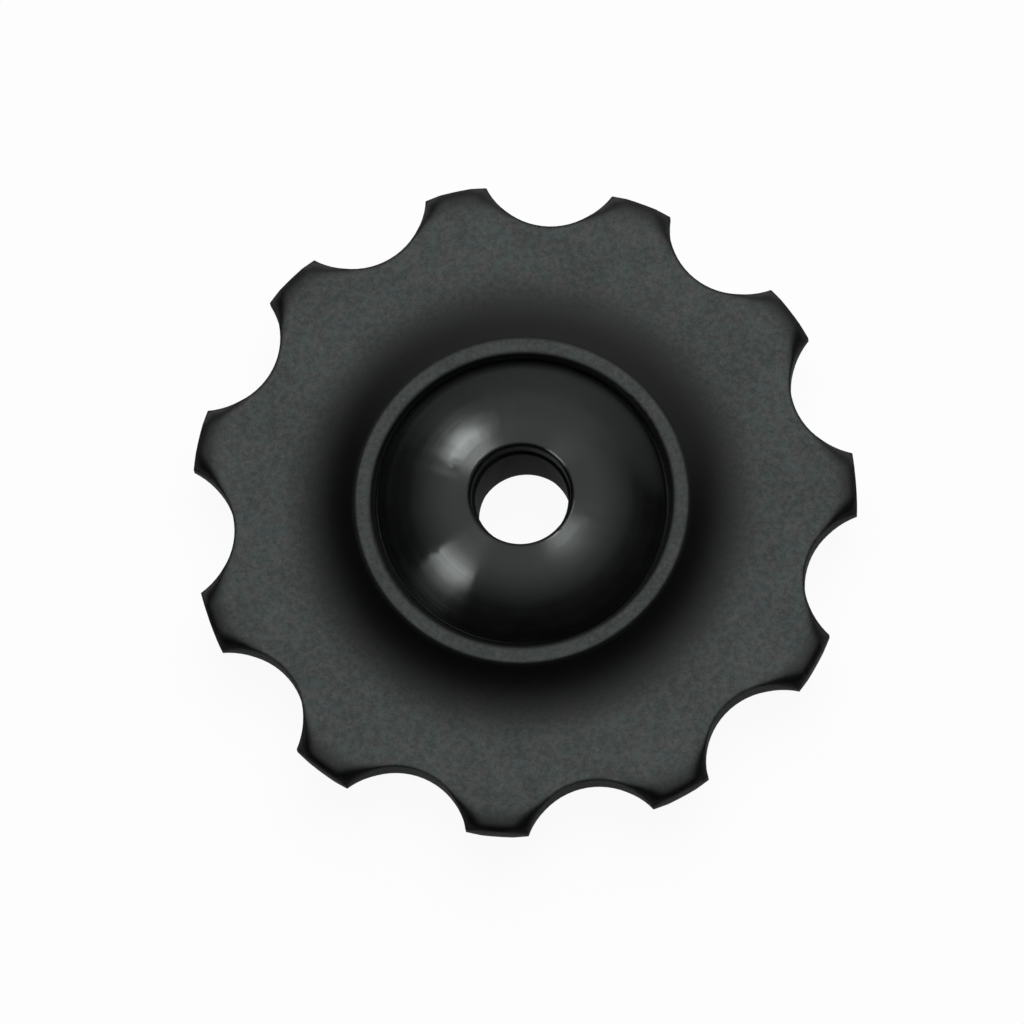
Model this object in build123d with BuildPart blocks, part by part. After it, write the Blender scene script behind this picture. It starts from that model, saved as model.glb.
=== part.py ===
"""Derailleur jockey wheel.

A moulded toothed wheel turns on a sealed ball bearing. A bush for the pulley bolt fills the
bearing's bore, and a domed cap on each side covers the bearing. The wheel lies flat: its axis
is +Z, and the origin is the middle of the bore. All sizes are in millimetres and degrees.
"""
import os
from math import pi, radians, sin, sqrt, tan

from build123d import *

# Chain that the wheel guides
chain_pitch = 12.7
roller_diameter = 7.75

# Toothed disc
tooth_count = 11
first_tooth_angle = 3.6
tip_relief = 1.04
disc_thickness = 2.0
tip_thickness = 1.6
tip_round_length = 1.4
scallop_radius = 4.65
flank_bevel_radius = 10.4
flank_bevel_step = 0.5
flank_bevel_slope = 30

# Hub moulded with the disc
hub_width = 5.0
ring_diameter = 21.7
ring_wall = 1.33
ring_edge_radius = 0.12
ring_wall_height = 0.18
skirt_width = 4.45
recess_depth = 1.3
recess_mouth_radius = 0.38
seat_chamfer = 0.2

# Sealed ball bearing
bearing_bore = 8.0
bearing_diameter = 14.0
bearing_width = 4.0
ball_section_share = 0.52917
ball_count = 10
groove_conformity = 0.52
shoulder_share = 0.19
race_chamfer = 0.2
race_clearance = 0.01
cage_wall = 0.6
cage_back = 0.35
cage_lip = 0.45
pocket_clearance = 0.07
seal_thickness = 0.35
seal_inset = 0.15
seal_groove_depth = 0.4
seal_mouth_depth = 0.25
seal_lip_clearance = 0.1

# Bush for the pulley bolt
bolt_bore = 6.0
bush_overhang = 0.7
bush_chamfer = 0.15

# Domed caps
cap_height = 2.0
cap_wall = 0.6
cap_cavity_height = 0.55
cap_hole_step = 0.2
cap_mouth_radius = 0.32
cap_land_width = 0.8
cap_rim_height = 0.65
cap_boss_inset = 0.15
cap_running_clearance = 0.2
cap_floor_clearance = 0.25
cap_register_clearance = 0.02

# Radii and heights of the wheel
pitch_radius = chain_pitch / (2 * sin(pi / tooth_count))
root_radius = pitch_radius - roller_diameter / 2
tip_radius = pitch_radius - tip_relief
disc_top = disc_thickness / 2
tip_top = tip_thickness / 2
seat_circle_radius = root_radius + scallop_radius
bevel_circle_radius = root_radius + flank_bevel_step + flank_bevel_radius
bevel_waist_radius = flank_bevel_radius - disc_top / tan(radians(flank_bevel_slope))
ring_top = hub_width / 2
ring_radius = ring_diameter / 2
recess_radius = ring_radius - ring_wall
recess_floor = ring_top - recess_depth
seat_radius = bearing_diameter / 2
skirt_radius = ring_radius + skirt_width

# Radii and heights of the bearing
race_top = bearing_width / 2
ball_diameter = ball_section_share * (bearing_diameter - bearing_bore) / 2
ball_radius = ball_diameter / 2
shoulder_height = shoulder_share * ball_diameter
ball_circle_radius = (bearing_bore + bearing_diameter) / 4
groove_radius = groove_conformity * ball_diameter
inner_groove_bottom = ball_circle_radius - ball_radius - race_clearance
outer_groove_bottom = ball_circle_radius + ball_radius + race_clearance
inner_shoulder_radius = inner_groove_bottom + shoulder_height
outer_shoulder_radius = outer_groove_bottom - shoulder_height
pocket_radius = ball_radius + pocket_clearance
cage_bottom = -pocket_radius - cage_back
seal_top = race_top - seal_inset
seal_bottom = seal_top - seal_thickness
seal_radius = outer_shoulder_radius + seal_groove_depth
seal_mouth_radius = outer_shoulder_radius + seal_mouth_depth
seal_lip_radius = inner_shoulder_radius + seal_lip_clearance

# Radii and heights of the bush and the caps
bush_radius = bearing_bore / 2
bush_top = race_top + bush_overhang
cap_top = race_top + cap_height
cap_radius = recess_radius - cap_running_clearance
cap_hole_radius = bolt_bore / 2 + cap_hole_step
cap_land_radius = cap_hole_radius + cap_mouth_radius + cap_land_width
cap_boss_radius = inner_shoulder_radius - cap_boss_inset
cap_register_radius = bush_radius + cap_register_clearance
cap_cavity_top = race_top + cap_cavity_height
cap_rim_bottom = recess_floor + cap_floor_clearance
cap_rim_top = cap_rim_bottom + cap_rim_height

# The dome is an arc that leaves the flat land level and ends at the rim. A cone hollows its inside.
dome_run = cap_radius - cap_land_radius
dome_drop = cap_top - cap_rim_top
dome_radius = (dome_run**2 + dome_drop**2) / (2 * dome_drop)
dome_centre_height = cap_top - dome_radius
dome_inside_radius = dome_radius - cap_wall
rim_inside_radius = cap_radius - cap_wall
cavity_run = sqrt(dome_inside_radius**2 - (cap_cavity_top - dome_centre_height) ** 2)
cavity_radius = cap_land_radius + cavity_run

# One gap between two teeth: a round roller seat, and a cone from each face that bevels the flanks.
# The cones stand further out than the seat, so they miss the root and cut the most at the tips.
with BuildPart() as tooth_gap:
    with Locations((seat_circle_radius, 0)):
        Cylinder(scallop_radius, disc_thickness)
    with Locations((bevel_circle_radius, 0, disc_top / 2)):
        Cone(bevel_waist_radius, flank_bevel_radius, disc_top)
    mirror(about=Plane.XY)

# Moulded wheel: bearing seat, cap recess, hub ring, flared skirt, disc and rounded-off tips
with BuildPart() as toothed_wheel:
    with BuildSketch(Plane.XZ):
        with BuildLine():
            Polyline(
                (seat_radius, 0),
                (seat_radius, recess_floor - seat_chamfer),
                (seat_radius + seat_chamfer, recess_floor),
                (recess_radius, recess_floor),
                (recess_radius, ring_top - recess_mouth_radius),
            )
            TangentArc(
                (recess_radius, ring_top - recess_mouth_radius),
                (recess_radius + recess_mouth_radius, ring_top),
                tangent=(0, 1),
            )
            Line((recess_radius + recess_mouth_radius, ring_top), (ring_radius - ring_edge_radius, ring_top))
            TangentArc(
                (ring_radius - ring_edge_radius, ring_top),
                (ring_radius, ring_top - ring_edge_radius),
                tangent=(1, 0),
            )
            Line((ring_radius, ring_top - ring_edge_radius), (ring_radius, ring_top - ring_wall_height))
            TangentArc(
                (skirt_radius, disc_top),
                (ring_radius, ring_top - ring_wall_height),
                tangent=(-1, 0),
            )
            Line((skirt_radius, disc_top), (tip_radius - tip_round_length, disc_top))
            TangentArc(
                (tip_radius - tip_round_length, disc_top),
                (tip_radius, tip_top),
                tangent=(1, 0),
            )
            Line((tip_radius, tip_top), (tip_radius, 0))
            mirror(about=Plane.XZ)
        make_face()
    revolve(axis=Axis.Z)
    with PolarLocations(0, tooth_count, start_angle=first_tooth_angle + 180 / tooth_count):
        add(tooth_gap.part, mode=Mode.SUBTRACT)

# Turned cap: it seats on the inner race and round the end of the bush, and its dome shades the bearing
with BuildPart() as front_cap:
    with BuildSketch(Plane.XZ):
        with BuildLine():
            TangentArc(
                (cap_hole_radius + cap_mouth_radius, cap_top),
                (cap_hole_radius, cap_top - cap_mouth_radius),
                tangent=(-1, 0),
            )
            Line((cap_hole_radius + cap_mouth_radius, cap_top), (cap_land_radius, cap_top))
            TangentArc((cap_land_radius, cap_top), (cap_radius, cap_rim_top), tangent=(1, 0))
            Polyline(
                (cap_radius, cap_rim_top),
                (cap_radius, cap_rim_bottom),
                (rim_inside_radius, cap_rim_bottom),
                (cavity_radius, cap_cavity_top),
                (cap_boss_radius, cap_cavity_top),
                (cap_boss_radius, race_top),
                (cap_register_radius, race_top),
                (cap_register_radius, bush_top),
                (cap_hole_radius, bush_top),
                (cap_hole_radius, cap_top - cap_mouth_radius),
            )
        make_face()
    revolve(axis=Axis.Z)

with BuildPart() as rear_cap:
    mirror(front_cap.part, about=Plane.XY)

# Bush: it fills the bearing's bore, and stands out on both sides to locate the caps
with BuildPart() as axle_bush:
    Cylinder(bush_radius, 2 * bush_top)
    Hole(bolt_bore / 2)
    chamfer(axle_bush.edges().filter_by(GeomType.CIRCLE), length=bush_chamfer)

# Inner race with its ball groove
with BuildPart() as bearing_inner_race:
    Cylinder(inner_shoulder_radius, bearing_width)
    Hole(bearing_bore / 2)
    Torus(inner_groove_bottom + groove_radius, groove_radius, mode=Mode.SUBTRACT)
    chamfer(
        bearing_inner_race.faces().filter_by(GeomType.CYLINDER).sort_by(SortBy.RADIUS)[0].edges()
        .filter_by(GeomType.CIRCLE),
        length=race_chamfer,
    )

# Outer race with its ball groove, and a snap groove for the seal on each side
with BuildPart() as bearing_outer_race:
    Cylinder(bearing_diameter / 2, bearing_width)
    chamfer(bearing_outer_race.edges().filter_by(GeomType.CIRCLE), length=race_chamfer)
    Hole(outer_shoulder_radius)
    Torus(outer_groove_bottom - groove_radius, groove_radius, mode=Mode.SUBTRACT)
    with BuildSketch(Plane.XZ):
        with BuildLine():
            Polyline(
                (seal_lip_radius, seal_bottom),
                (seal_radius, seal_bottom),
                (seal_radius, seal_top),
                (seal_mouth_radius, seal_top),
                (seal_mouth_radius, race_top),
                (seal_lip_radius, race_top),
                close=True,
            )
        make_face()
        mirror(about=Plane.XZ)
    revolve(axis=Axis.Z, mode=Mode.SUBTRACT)

# Crown cage: a plain back ring, and snap pockets that are open towards the front
with BuildPart() as bearing_cage:
    with BuildSketch(Plane.XY.offset(cage_bottom)):
        Circle(ball_circle_radius + cage_wall / 2)
        Circle(ball_circle_radius - cage_wall / 2, mode=Mode.SUBTRACT)
    extrude(amount=cage_lip - cage_bottom)
    with PolarLocations(ball_circle_radius, ball_count):
        Sphere(pocket_radius, mode=Mode.SUBTRACT)

# Ring seal in the outer race's groove, with its lip just clear of the inner race
with BuildPart() as front_seal:
    with BuildSketch(Plane.XY.offset(seal_bottom)):
        Circle(seal_radius)
        Circle(seal_lip_radius, mode=Mode.SUBTRACT)
    extrude(amount=seal_thickness)

with BuildPart() as rear_seal:
    mirror(front_seal.part, about=Plane.XY)

pieces = {
    "toothed_wheel": toothed_wheel,
    "front_cap": front_cap,
    "rear_cap": rear_cap,
    "axle_bush": axle_bush,
    "bearing_inner_race": bearing_inner_race,
    "bearing_outer_race": bearing_outer_race,
    "bearing_cage": bearing_cage,
    "front_seal": front_seal,
    "rear_seal": rear_seal,
}

# Balls, one in each pocket of the cage
for number, place in enumerate(PolarLocations(ball_circle_radius, ball_count), start=1):
    with BuildPart() as bearing_ball:
        with Locations(place):
            Sphere(ball_radius)
    pieces[f"bearing_ball_{number:02d}"] = bearing_ball

os.makedirs("parts", exist_ok=True)
for name, piece in pieces.items():
    piece.part.label = name
    export_step(piece.part, f"parts/{name}.step")
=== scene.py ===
import math

import bpy
from mathutils import Matrix, Quaternion, Vector


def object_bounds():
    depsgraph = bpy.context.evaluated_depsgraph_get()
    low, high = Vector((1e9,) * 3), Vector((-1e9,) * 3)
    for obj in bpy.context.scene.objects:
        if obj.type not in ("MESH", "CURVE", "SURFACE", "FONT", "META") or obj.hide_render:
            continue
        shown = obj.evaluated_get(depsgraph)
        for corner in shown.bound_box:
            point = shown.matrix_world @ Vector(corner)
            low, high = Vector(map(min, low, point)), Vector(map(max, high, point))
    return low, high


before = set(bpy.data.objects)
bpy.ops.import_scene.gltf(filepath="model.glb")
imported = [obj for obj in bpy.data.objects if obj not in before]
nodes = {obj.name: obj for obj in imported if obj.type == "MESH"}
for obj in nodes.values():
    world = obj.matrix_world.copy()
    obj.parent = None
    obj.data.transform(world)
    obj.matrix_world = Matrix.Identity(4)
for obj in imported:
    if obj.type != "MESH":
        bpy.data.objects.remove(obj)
cad_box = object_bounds()

# Axle bush: a short sleeve, turned from steel bar, bored for the pulley bolt and blackened.
# It is pressed through the bearing's inner race, and its two ends locate the caps.
class Field:
    """A value or colour that changes over a surface: one output socket of a finish's nodes."""

    def __init__(self, tree, socket):
        self.tree = tree
        self.socket = socket

    def node(self, kind, settings, inputs, output=0):
        made = self.tree.nodes.new("ShaderNode" + kind)
        for name, value in settings.items():
            setattr(made, name, value)
        for key, value in inputs.items():
            if isinstance(value, Field):
                self.tree.links.new(value.socket, made.inputs[key])
            else:
                made.inputs[key].default_value = value
        return Field(self.tree, made.outputs[output])

    def maths(self, operation, *values):
        return self.node("Math", {"operation": operation}, dict(enumerate(values)))

    def __add__(self, other):
        return self.maths("ADD", self, other)

    __radd__ = __add__

    def __sub__(self, other):
        return self.maths("SUBTRACT", self, other)

    def __rsub__(self, other):
        return self.maths("SUBTRACT", other, self)

    def __mul__(self, other):
        return self.maths("MULTIPLY", self, other)

    __rmul__ = __mul__

    def step(self, low, high):
        return self.node(
            "MapRange",
            {"interpolation_type": "SMOOTHSTEP"},
            {"Value": self, "From Min": low, "From Max": high},
        )

    def noise(self, scale, detail=3.0, roughness=0.55):
        return self.node(
            "TexNoise",
            {},
            {"Vector": self, "Scale": scale, "Detail": detail, "Roughness": roughness},
        )

    def stretch(self, factors):
        return self.node("VectorMath", {"operation": "MULTIPLY"}, {0: self, 1: factors})

    def part(self, axis):
        return self.node("SeparateXYZ", {}, {"Vector": self}, axis)

    def from_axis(self):
        flat = self.stretch((1, 1, 0))
        return flat.node("VectorMath", {"operation": "LENGTH"}, {0: flat}, "Value")

    def blend(self, first, second):
        return self.node(
            "Mix", {"data_type": "RGBA", "clamp_factor": True}, {0: self, 6: first, 7: second}, 2
        )

    def relief(self, strength, depth, **under):
        return self.node(
            "Bump", {}, {"Strength": strength, "Distance": depth, "Height": self, **under}
        )


def finish(name, metallic=0.0):
    """Start a finish: its material, its shader and the place on the piece in metres."""
    material = bpy.data.materials.new(name)
    material.use_nodes = True
    shader = material.node_tree.nodes["Principled BSDF"]
    shader.inputs["Metallic"].default_value = metallic
    start = Field(material.node_tree, None)
    return material, shader, start.node("TexCoord", {}, {}, "Object")


def feed(shader, **fields):
    """Link each field to the shader's socket of that name."""
    for name, field in fields.items():
        field.tree.links.new(field.socket, shader.inputs[name.replace("_", " ")])


def dress(node, material):
    """Give a CAD node this finish alone."""
    slots = nodes[node].data.materials
    slots.clear()
    slots.append(material)


oxide_black = (0.007, 0.008, 0.008, 1)
oxide_bloom = (0.016, 0.0175, 0.017, 1)
blackened, shader, place = finish("blackened_bush_steel")
shader.inputs["Specular IOR Level"].default_value = 0.06
turning = place.part("Z").noise(9000.0, detail=2.0)
bloom = place.noise(900.0)
feed(
    shader,
    Base_Color=bloom.step(0.3, 0.75).blend(oxide_black, oxide_bloom),
    Roughness=0.66 + 0.14 * bloom + 0.06 * turning,
    Normal=turning.relief(strength=0.25, depth=0.00001),
)
dress("axle_bush", blackened)

# Bearing races: rings of through-hardened bearing steel, ground all over, with honed ball grooves.
# The inner race sits on the bush, and the outer race is pressed into the wheel.
clean_steel = (0.5, 0.5, 0.515, 1)
oiled_steel = (0.62, 0.615, 0.6, 1)
ground, shader, place = finish("ground_bearing_steel", metallic=1.0)
grinding = place.stretch((300.0, 300.0, 14000.0)).noise(1.0)
film = place.noise(700.0)
feed(
    shader,
    Base_Color=film.step(0.35, 0.7).blend(clean_steel, oiled_steel),
    Roughness=0.16 + 0.12 * film + 0.08 * grinding,
    Normal=grinding.relief(strength=0.12, depth=0.000006),
)
dress("bearing_inner_race", ground)
dress("bearing_outer_race", ground)

# Balls: ten chrome-steel balls, lapped to a mirror. They roll between the two races with a thin
# smear of grease left on them.
mirror_steel = (0.72, 0.72, 0.73, 1)
greased_steel = (0.58, 0.56, 0.51, 1)
lapped, shader, place = finish("lapped_ball_steel", metallic=1.0)
smear = place.noise(2600.0, detail=4.0)
feed(
    shader,
    Base_Color=smear.step(0.4, 0.75).blend(mirror_steel, greased_steel),
    Roughness=0.05 + 0.22 * smear.step(0.45, 0.8),
)
for node in nodes:
    if node.startswith("bearing_ball"):
        dress(node, lapped)

# Crown cage: one pressing of soft steel, snapped over the balls from the rear. Its faces keep the
# dull skin and the fine draw marks of the press.
dull_steel = (0.36, 0.36, 0.365, 1)
rubbed_steel = (0.47, 0.465, 0.455, 1)
pressed, shader, place = finish("pressed_cage_steel", metallic=1.0)
skin = place.noise(1600.0, detail=5.0)
draw_marks = place.stretch((9000.0, 9000.0, 900.0)).noise(1.0)
feed(
    shader,
    Base_Color=skin.step(0.3, 0.7).blend(dull_steel, rubbed_steel),
    Roughness=0.34 + 0.16 * skin,
    Normal=draw_marks.relief(strength=0.2, depth=0.000008),
)
dress("bearing_cage", pressed)

# Seals: ring seals of black nitrile rubber, moulded round a thin plate and snapped into the
# grooves of the outer race. Talc from the moulding dulls them.
rubber_black = (0.014, 0.014, 0.0145, 1)
talc_grey = (0.05, 0.05, 0.048, 1)
nitrile, shader, place = finish("nitrile_seal")
talc = place.noise(2200.0, detail=4.0)
pores = place.noise(12000.0, detail=2.0)
feed(
    shader,
    Base_Color=talc.step(0.5, 0.85).blend(rubber_black, talc_grey),
    Roughness=0.62 + 0.2 * talc,
    Normal=pores.relief(strength=0.3, depth=0.00001),
)
dress("front_seal", nitrile)
dress("rear_seal", nitrile)

# Toothed wheel: one moulding in black glass-filled nylon, with the teeth, the flared web, the hub
# rings and the bearing seat. Flat faces and ring tops take a lit grey with the fine grain of a
# spark-eroded mould; every slope is painted near black as shade, and the web towards the hub and
# the tooth tips are painted darker as shade.
web_radii = (0.0135, 0.0175)
tooth_end_radii = (0.0191, 0.0205)
shaded_tip_radii = (0.0195, 0.0213)
mould_edge = 0.0003
tip_edge = 0.0009
# Near black painted on slopes as shade, in place of the lit grey of the flat faces.
painted_shade_black = (0.0014, 0.0017, 0.0016, 1)
deep_green = (0.02, 0.031, 0.029, 1)
deep_grey = (0.0275, 0.0285, 0.0285, 1)
pale_green = (0.08, 0.108, 0.102, 1)
pale_grey = (0.099, 0.102, 0.101, 1)
bare_glass = (0.138, 0.152, 0.148, 1)
nylon, shader, place = finish("moulded_nylon")
shader.inputs["Specular IOR Level"].default_value = 0.41
reach = place.from_axis()
tips = reach.step(*tooth_end_radii)
moulded = place.node("Bevel", {"samples": 6}, {"Radius": mould_edge})
rounded = place.node("Bevel", {"samples": 8}, {"Radius": tip_edge})
soft_edge = tips.node("Mix", {"data_type": "VECTOR"}, {0: tips, 4: moulded, 5: rounded}, 1)
lean = soft_edge.part("Z")
slope = lean.maths("SQRT", 1.0 - lean * lean)
flatness = slope.maths("MAXIMUM", 1.0 - 2.0 * slope, 0.0)
# Painted shade by radius: the web and hub ring a quarter darker towards the hub, the tooth tips
# darker again.
painted_shade_by_radius = 0.74 + 0.26 * reach.step(*web_radii) - 0.45 * reach.step(*shaded_tip_radii)
# Painted light and shade from the surface's lean: flat faces take the lit grey, slopes fall to the
# painted black, and upright walls get about a third of the grey back.
painted_light_mask = painted_shade_by_radius * flatness.maths("POWER", flatness, 2.8) + 0.35 * slope.step(0.85, 0.99)
grain = place.noise(2700.0, detail=4.0, roughness=0.62)
tint = place.noise(1100.0, detail=2.0).step(0.36, 0.64)
cloud = place.noise(380.0)
sparkle = place.noise(7200.0, detail=2.0)
fibre = place.node("TexVoronoi", {"feature": "F1"}, {"Vector": place, "Scale": 1900.0})
speck = (1.0 - fibre.step(0.05, 0.32)) * place.noise(800.0).step(0.48, 0.66)
coarse_mottle = 0.45 * grain.step(0.36, 0.64) + 0.25 * cloud.step(0.3, 0.7)
mottle = coarse_mottle + 0.3 * sparkle.step(0.34, 0.66)
# The lit grey of the flat faces, mottled green and grey at random.
lit_face_grey = mottle.blend(tint.blend(deep_green, deep_grey), tint.blend(pale_green, pale_grey))
lit_grey_and_worn_specks = (0.45 * speck).blend(lit_face_grey, bare_glass)
dull_wall = 0.6 * slope.step(0.7, 0.98)
feed(
    shader,
    Base_Color=painted_light_mask.blend(painted_shade_black, lit_grey_and_worn_specks),
    Roughness=0.27 + 0.09 * painted_light_mask + 0.06 * cloud + 0.1 * grain + dull_wall,
    Normal=grain.relief(strength=0.45, depth=0.000012, Normal=soft_edge),
)
dress("toothed_wheel", nylon)

# Domed caps: turned from aluminium bar and black anodised. The tool's feed leaves fine rings all
# round the dome, which draw each lamp out into a fan. Each cap is clamped against the inner race.
feed_per_turn = 0.00016
dye_black = (0.0008, 0.001, 0.0009, 1)
dye_thin = (0.0015, 0.0018, 0.0017, 1)
anodised, shader, place = finish("black_anodised_cap")
shader.inputs["Anisotropic"].default_value = 1.0
shader.inputs["Anisotropic Rotation"].default_value = 0.25
shader.inputs["Specular Tint"].default_value = (0.93, 1.0, 0.96, 1)
lean = place.node("NewGeometry", {}, {}, "Normal").part("Z")
bored = 1.0 - (lean * lean).step(0.02, 0.3)
reach = place.from_axis()
feed_rings = reach.maths("SINE", reach * (2 * math.pi / feed_per_turn))
chatter = reach.noise(5200.0)
dye = place.noise(500.0)
turned = 0.05 * chatter.step(0.3, 0.7) + 0.006 * feed_rings
feed(
    shader,
    Base_Color=dye.step(0.3, 0.7).blend(dye_black, dye_thin),
    Roughness=0.135 + 0.05 * dye + turned + 0.65 * bored,
    Normal=(chatter + 0.25 * feed_rings).relief(strength=0.1, depth=0.000007),
)
dress("front_cap", anodised)
dress("rear_cap", anodised)

# Studio: a sweep of white paper under the wheel, which lies on its rear cap. To the eye the paper
# is nearly as bright as the light box behind it, and it still takes the wheel's shadow.
paper_width = 3.0
paper_shade = (0.88, 0.88, 0.88, 1)
paper_light = (0.92, 0.92, 0.92, 1)
glow_share = 0.92
bpy.ops.object.select_all(action="DESELECT")
bpy.ops.mesh.primitive_plane_add(size=paper_width, location=(0, 0, cad_box[0].z))
paper = bpy.context.object
paper.name = "paper_floor"
bpy.ops.object.transform_apply(location=True)
paper_white = bpy.data.materials.new("white_paper")
paper_white.use_nodes = True
tree = paper_white.node_tree
tree.nodes.clear()
start = Field(tree, None)
to_eye, mirrored, through = [
    start.node("LightPath", {}, {}, kind)
    for kind in ("Is Camera Ray", "Is Glossy Ray", "Is Transmission Ray")
]
shown = to_eye.maths("MAXIMUM", to_eye, mirrored.maths("MAXIMUM", mirrored, through))
fibres = start.node("TexCoord", {}, {}, "Object").noise(1500.0)
matt = start.node("BsdfDiffuse", {}, {"Color": fibres.blend(paper_shade, paper_light)})
glow = start.node("Emission", {}, {"Color": (1, 1, 1, 1), "Strength": 1.02})
seen = start.node("MixShader", {}, {0: glow_share * shown, 1: matt, 2: glow})
sheet_end = tree.nodes.new("ShaderNodeOutputMaterial")
tree.links.new(seen.socket, sheet_end.inputs["Surface"])
paper.data.materials.append(paper_white)

# Light: a soft box overhead, a low window beyond the far edge, a fill card that does not show in
# the wheel, and two small lamps that are shielded to reach the caps alone. The room is dim, so
# slopes that lean away from the lamps fall dark.
room = bpy.data.worlds.new("dim_room")
bpy.context.scene.world = room
room.use_nodes = True
sky = room.node_tree.nodes["Background"]
sky.inputs["Color"].default_value = (1, 1, 1, 1)
sky.inputs["Strength"].default_value = 0.018


def hang_panel(name, size, watts, direction, distance=0.6, spread=180, roll=0):
    """Hang an oval light panel so that it faces the middle of the bore."""
    light = bpy.data.lights.new(name, "AREA")
    light.shape = "ELLIPSE"
    light.size, light.size_y = size
    light.energy = watts
    light.spread = math.radians(spread)
    panel = bpy.data.objects.new(name, light)
    bpy.context.scene.collection.objects.link(panel)
    outward = Vector(direction).normalized()
    panel.location = outward * distance
    turn = Quaternion((0, 0, 1), math.radians(roll))
    panel.rotation_euler = (outward.to_track_quat("Z", "Y") @ turn).to_euler()
    return panel


hang_panel("soft_box", (1.05, 1.05), 0.73, (0.0, 0.24, 0.97), spread=90)
hang_panel("low_window", (2.4, 0.6), 0.82, (0.18, 0.86, 0.47), distance=0.7, spread=125)
fill_card = hang_panel("fill_card", (0.5, 0.5), 1.3, (0.12, 0.45, 0.885))
fill_card.visible_glossy = False
window_lamp = hang_panel("window_lamp", (0.075, 0.15), 0.43, (-0.195, 0.378, 0.905), roll=18)
left_lamp = hang_panel("left_lamp", (0.17, 0.23), 0.77, (-0.44, -0.18, 0.88), roll=25)
lit_caps = bpy.data.collections.new("lit_caps")
lit_caps.objects.link(nodes["front_cap"])
lit_caps.objects.link(nodes["rear_cap"])
window_lamp.light_linking.receiver_collection = lit_caps
left_lamp.light_linking.receiver_collection = lit_caps

# Camera: it looks down on the wheel from the front, tilted 14 degrees off the wheel's axis, with a
# long lens, so that the far teeth are hardly smaller than the near ones.
tilt = math.radians(14.0)
swing = math.radians(11.5)
far = 0.8
picture_px = 1024
wheel_px = (523.6, 509.2)
metres_per_px = 0.0645e-3
sensor_mm = 36
sideways = math.sin(tilt)
back = Vector((sideways * math.sin(swing), -sideways * math.cos(swing), math.cos(tilt)))
right = Vector((0, 1, 0)).cross(back).normalized()
up = back.cross(right)
right_px = picture_px / 2 - wheel_px[0]
up_px = wheel_px[1] - picture_px / 2
aim = (right * right_px + up * up_px) * metres_per_px
lens = bpy.data.cameras.new("camera")
camera = bpy.data.objects.new("camera", lens)
bpy.context.scene.collection.objects.link(camera)
facing = Matrix((right, up, back)).transposed().to_4x4()
camera.matrix_world = Matrix.Translation(aim + back * far) @ facing
lens.sensor_width = sensor_mm
lens.lens = sensor_mm * far / (picture_px * metres_per_px)
lens.clip_start = 0.01
bpy.context.scene.camera = camera
bpy.context.scene.view_settings.view_transform = "Standard"
